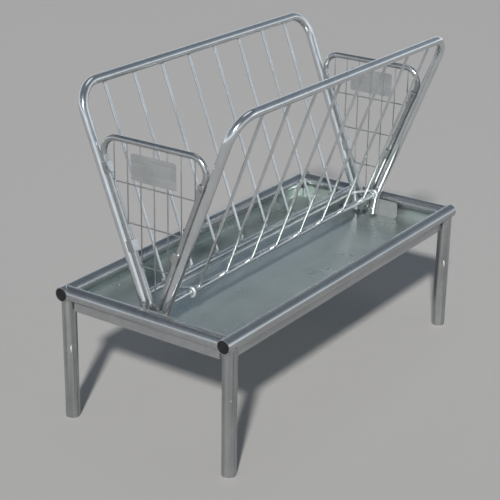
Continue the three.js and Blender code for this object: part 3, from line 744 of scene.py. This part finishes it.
# a block round the end frame's leg, hollowed where the hoop's arm lies against it
def clipBlock(bm, e, s, middle, depth):
    upward = Vector((0, s * math.sin(lean), math.cos(lean)))
    toArm = Vector((0, s * math.cos(lean), -math.sin(lean)))
    centre = Vector((e * rack["reach"], s * endLegAt(middle), middle))
    half = clips["width"] / 2
    seat = rack["tube"] + clips["gap"]
    armAway = rack["tube"] + endFrame["tube"] + endFrame["gap"]
    mouth = math.acos((armAway - half) / seat)
    steps = clips["seatSteps"]
    turns = [mouth * (1 - k / steps) for k in range(2 * steps + 1)]
    outline = [(-depth / 2, -half), (depth / 2, -half), (depth / 2, half)]
    outline += [(seat * math.sin(t), armAway - seat * math.cos(t)) for t in turns]
    outline.append((-depth / 2, half))
    low = centre - upward * clips["length"] / 2
    before = set(bm.verts)
    spots = [low + Vector((x, 0, 0)) + toArm * across for x, across in outline]
    face = bm.faces.new([bm.verts.new(spot) for spot in spots])
    out = bmesh.ops.extrude_face_region(bm, geom=[face], use_keep_orig=True)
    bmesh.ops.translate(bm, verts=vertsIn(out["geom"]), vec=upward * clips["length"])
    fresh = [v for v in bm.verts if v not in before]
    bmesh.ops.recalc_face_normals(bm, faces=unique(f for v in fresh for f in v.link_faces))
    soften(bm, crispEdges(fresh), clips["edge"])


def makeClip(end, e, side, s):
    bm = bmesh.new()
    clipBlock(bm, e, s, clips["upper"], clips["upperDepth"])
    centre = Vector((e * rack["reach"], s * endLegAt(clips["upper"]), clips["upper"]))
    outward = Vector((e, 0, 0))
    hexAt(bm, centre + outward * clips["upperDepth"] / 2, outward, clips["boltAcross"],
          clips["boltHead"])
    reach = clips["lugReach"] + endFrame["tube"]
    root = clips["upperDepth"] / 2 - clips["lugRoot"]
    size = Matrix.Diagonal((reach - root, clips["wall"], clips["lugWidth"], 1))
    inward = Matrix.Translation((-e * (reach + root) / 2, 0, 0))
    place = Matrix.Translation(centre) @ Matrix.Rotation(-s * lean, 4, "X") @ inward @ size
    lug = bmesh.ops.create_cube(bm, size=1.0, matrix=place)
    soften(bm, unique(edge for vert in lug["verts"] for edge in vert.link_edges), clips["lugEdge"])
    dress(bm, f"{side}{end.capitalize()}Clip", zinc["frameZinc"], "base",
          [f"upper_clip_{side}_{end}"], sharp["flat"])


def wireEnd(z):
    return endLegAt(z) - endFrame["tube"] / math.cos(lean)


# an upright wire's ends: under the frame's top or its corner, and clear of its legs and feet
def uprightSpan(y):
    top = endFrame["top"] - endFrame["tube"]
    past = abs(y) - endLegAt(endFrame["top"]) + endFrame["corner"] * wires["turnShare"]
    if past > 0:
        top -= past ** 2 / (2 * endFrame["corner"]) * wires["dipShare"]
    fromMiddle = abs(y) + endFrame["shift"] + endFrame["tube"] / math.cos(lean)
    low = rack["railHeight"] + (fromMiddle - rack["railSpread"]) / math.tan(lean)
    return max(low, endFrame["foot"] + wires["footLift"]), top


def makeWires(end, e):
    bm = bmesh.new()
    x = e * rack["reach"]
    for i in range(-wires["sideCount"], wires["sideCount"] + 1):
        y = i * wires["pitch"]
        low, top = uprightSpan(y)
        rodAt(bm, (x, y, low), Vector((0, 0, 1)), wires["wire"], top - low, facets["wire"],
              wires["edge"])
    for z in wires["heights"]:
        start = (x - e * wires["step"], -wireEnd(z), z)
        rodAt(bm, start, Vector((0, 1, 0)), wires["wire"], 2 * wireEnd(z), facets["wire"],
              wires["edge"])
    dress(bm, f"{end}EndMesh", zinc["wireZinc"], "base", [f"end_mesh_{end}"])


def makeBadge(end, e):
    bm = bmesh.new()
    plateAt(bm, e * badge["face"], e * badge["thickness"], badge["width"], badge["low"], badge["high"],
            badge["corner"], badge["edge"])
    dress(bm, f"{end}Badge", zinc["plateZinc"], "base", [f"end_badge_{end}"],
          sharp["flat"])


def makeFootPlate(end, e):
    bm = bmesh.new()
    plateAt(bm, e * footPlate["inner"], e * footPlate["thickness"], footPlate["width"], footPlate["low"],
            footPlate["high"], footPlate["corner"], footPlate["edge"])
    dress(bm, f"{end}FootPlate", zinc["plateZinc"], "base", [f"foot_plate_{end}"],
          sharp["flat"])


# a bolt with its head towards the middle and its nut outside the foot plate
def throughBolt(bm, e, y, headTop, look, nutHeight):
    z = pivotBolts["height"]
    outward = Vector((e, 0, 0))
    nutStart = footPlate["inner"] + footPlate["thickness"] + pivotBolts["gap"]
    length = nutStart + nutHeight + pivotBolts["tail"] - headTop
    hexAt(bm, (e * (headTop + look["head"]), y, z), -outward, look["across"], look["head"])
    rodAt(bm, (e * headTop, y, z), outward, look["shank"], length)
    hexAt(bm, (e * nutStart, y, z), outward, look["across"], nutHeight)


def makeEndBolts(end, e):
    for side, s in sides.items():
        bm = bmesh.new()
        headTop = rack["reach"] - rack["tube"] - pivotBolts["gap"] - pivotBolts["head"]
        throughBolt(bm, e, s * pivotBolts["spread"], headTop, pivotBolts, pivotBolts["nut"])
        dress(bm, f"{side}{end.capitalize()}PivotBolt", zinc["boltZinc"], "base",
              [f"pivot_bolt_{side}_{end}"], sharp["flat"])
    bm = bmesh.new()
    headTop = endFrame["tongueInner"] - pivotBolts["gap"] - centreBolts["head"]
    throughBolt(bm, e, 0, headTop, centreBolts, centreBolts["head"])
    dress(bm, f"{end}CentreBolt", zinc["boltZinc"], "base", [f"centre_bolt_{end}"],
          sharp["flat"])


for end, e in ends.items():
    makeEndFrame(end, e)
    makeWires(end, e)
    makeBadge(end, e)
    makeFootPlate(end, e)
    makeEndBolts(end, e)
    for side, s in sides.items():
        makeClip(end, e, side, s)
print("end frames made")

# bail: a rod between the rails, hooked round the front one
bail = {"start": -0.657, "end": 0.760, "radius": 0.0055, "reach": 0.1076, "drop": 0.0129, "corner": 0.03,
        "clearance": 0.0008, "hookTurn": 4.2, "hookSteps": 30}


def makeBail():
    bm = bmesh.new()
    hookTop = rack["rail"] + bail["clearance"] + bail["radius"]
    railAxis = Vector((0, -rack["railSpread"], rack["railHeight"]))
    spots = [(bail["start"], 0, hookTop), (bail["start"], bail["reach"], -bail["drop"]),
             (bail["end"], bail["reach"], -bail["drop"]), (bail["end"], 0, hookTop)]
    bendPipe(bm, [Vector(spot) + railAxis for spot in spots], [bail["corner"]] * 2, bail["radius"],
             facets["rod"])
    for x in (bail["start"], bail["end"]):
        top = railAxis + Vector((x, 0, hookTop))
        ring = startRing(bm, top, Vector((0, -1, 0)), bail["radius"], facets["rod"])
        turnRing(bm, ring, railAxis, Vector((1, 0, 0)), bail["hookTurn"], bail["hookSteps"])
    closePipe(bm)
    dress(bm, "retainingRod", zinc["rodZincPaintedSheen"], "bail", ["retaining_bail"])


makeBail()

# welds, in one piece for each body
welds = {"tube": 0.0034, "tubeDabs": 46, "sink": 0.0012, "inset": 0.0046, "legDabs": 42,
         "legInset": 0.0015, "wire": 0.0026, "wireShare": 1.2, "wireLap": 0.001, "tongueDabs": 5,
         "tongueLift": 0.003, "tongueStep": 0.0035, "tongueSink": 0.0005, "rail": 0.0026, "railDabs": 26,
         "bar": 0.0026, "barDabs": 12, "barSink": 0.001, "toeShares": (0.15, 0.4, 0.65, 0.9),
         "toeSink": 0.9, "toeSide": 0.0045}
# where each row's random numbers start, so that rows differ
seeds = {"cope": 1, "stub": 50, "wire": 7, "rail": 11, "bar": 20, "toe": 40, "run": 90}


# keeps a dab's middle inside the table frame's outline
def insideFrame(x, y, z):
    reachX = table["halfLength"] - welds["inset"]
    reachY = table["halfWidth"] + table["tube"] - welds["inset"]
    return (max(-reachX, min(reachX, x)), max(-reachY, min(reachY, y)), z)


# where an end tube meets a side tube
def copeSpots(s, e, radius):
    spots = []
    for t in circleOf(welds["tubeDabs"]):
        x = e * table["endReach"] + radius * math.cos(t)
        y = s * (table["halfWidth"] - radius * abs(math.cos(t)))
        spots.append(insideFrame(x, y, table["height"] + radius * math.sin(t)))
    return spots


# where a leg's stub meets the tubes over it
def stubSpots(s, e, radius):
    spots = []
    ring = legs["outer"] - welds["legInset"]
    for t in circleOf(welds["legDabs"]):
        dx, dy = ring * math.cos(t), ring * math.sin(t)
        x, y = e * legs["reach"] + dx, s * table["halfWidth"] + dy
        toEnd = x - e * table["endReach"]
        dip = math.sqrt(radius ** 2 - dy ** 2)
        if abs(toEnd) < radius and s * dy < 0:
            dip = max(dip, math.sqrt(radius ** 2 - toEnd ** 2))
        spots.append(insideFrame(x, y, table["height"] - dip))
    return spots


def frameWelds():
    bm = bmesh.new()
    radius = table["tube"] - welds["sink"]
    seed = seeds["cope"]
    for s in sides.values():
        for e in ends.values():
            weldRow(bm, copeSpots(s, e, radius), welds["tube"], seed)
            weldRow(bm, stubSpots(s, e, radius), welds["tube"], seed + seeds["stub"])
            seed += 1
    for e in ends.values():
        x = e * rack["reach"]
        for i in range(-wires["sideCount"], wires["sideCount"] + 1):
            y = i * wires["pitch"]
            for z in wires["heights"]:
                if abs(y) < wireEnd(z):
                    spot = (x - e * wires["step"] / 2, y, z)
                    weldRow(bm, [spot], welds["wire"], seed + seeds["wire"] * i)
        for z in wires["heights"]:
            for s in sides.values():
                spot = (x - e * wires["step"], s * (wireEnd(z) + welds["wireLap"]), z)
                weldRow(bm, [spot], welds["wire"] * welds["wireShare"], seed)
        for s in sides.values():
            for step in range(welds["tongueDabs"]):
                z = endFrame["foot"] + welds["tongueLift"] + step * welds["tongueStep"]
                spot = (e * (endFrame["tongueInner"] + welds["tongueSink"]),
                        s * (endLegAt(z) - welds["wireLap"]), z)
                weldRow(bm, [spot], welds["wire"], seed + step)
    dress(bm, "frameWelds", zinc["weldZinc"], "base", (), sharp["weld"])


# the runs that the zinc left below two legs' screws when they were dipped
zincRun = {"legs": [("left", "back"), ("right", "front")], "start": 0.0058, "length": 0.028, "steps": 13,
           "size": 0.0034, "taper": 0.55, "sinkShare": 0.45, "flat": 1.3}


def makeZincRuns():
    bm = bmesh.new()
    for end, side in zincRun["legs"]:
        top = Vector((ends[end] * legs["reach"], sides[side] * table["halfWidth"], legScrew["height"]))
        top += screwHeading * (legs["outer"] - zincRun["size"] * zincRun["sinkShare"])
        for step in range(zincRun["steps"]):
            share = step / (zincRun["steps"] - 1)
            drop = Vector((0, 0, -zincRun["start"] - share * zincRun["length"]))
            size = zincRun["size"] * (1 - share * zincRun["taper"])
            weldRow(bm, [top + drop], size, seeds["run"] + step, zincRun["flat"])
    dress(bm, "zincRuns", zinc["runZinc"], "base", (), sharp["weld"])


def rackWelds(side, s):
    bm = bmesh.new()
    y, z, rail, arm = s * rack["railSpread"], rack["railHeight"], rack["rail"], rack["tube"]
    for e in ends.values():
        spots = []
        for t in circleOf(welds["railDabs"]):
            dy, dz = rail * math.cos(t), rail * math.sin(t)
            off = dy * math.cos(lean) - s * dz * math.sin(lean)
            spots.append((e * (rack["reach"] - math.sqrt(arm ** 2 - off ** 2)), y + dy, z + dz))
        weldRow(bm, spots, welds["rail"], seeds["rail"])
    lengthways = Vector((1, 0, 0))
    for i in range(bars["count"]):
        top, elbow, toe = barLine(s, i)
        upward = (top - elbow).normalized()
        across = upward.cross(lengthways)
        seat = top - upward * welds["barSink"]
        ring = [seat + (lengthways * math.cos(t) + across * math.sin(t)) * bars["radius"]
                for t in circleOf(welds["barDabs"])]
        weldRow(bm, ring, welds["bar"], seeds["bar"] + i)
        for share in welds["toeShares"]:
            for flank in (-1, 1):
                spot = elbow.lerp(toe, share) - upward * bars["radius"] * welds["toeSink"]
                spot += across * flank * welds["toeSide"]
                weldRow(bm, [spot], welds["bar"], seeds["toe"] + i)
    dress(bm, f"{side}RackWelds", zinc["weldZinc"], f"rack_{side}", (), sharp["weld"])


frameWelds()
makeZincRuns()
for side, s in sides.items():
    rackWelds(side, s)
print("welds laid")
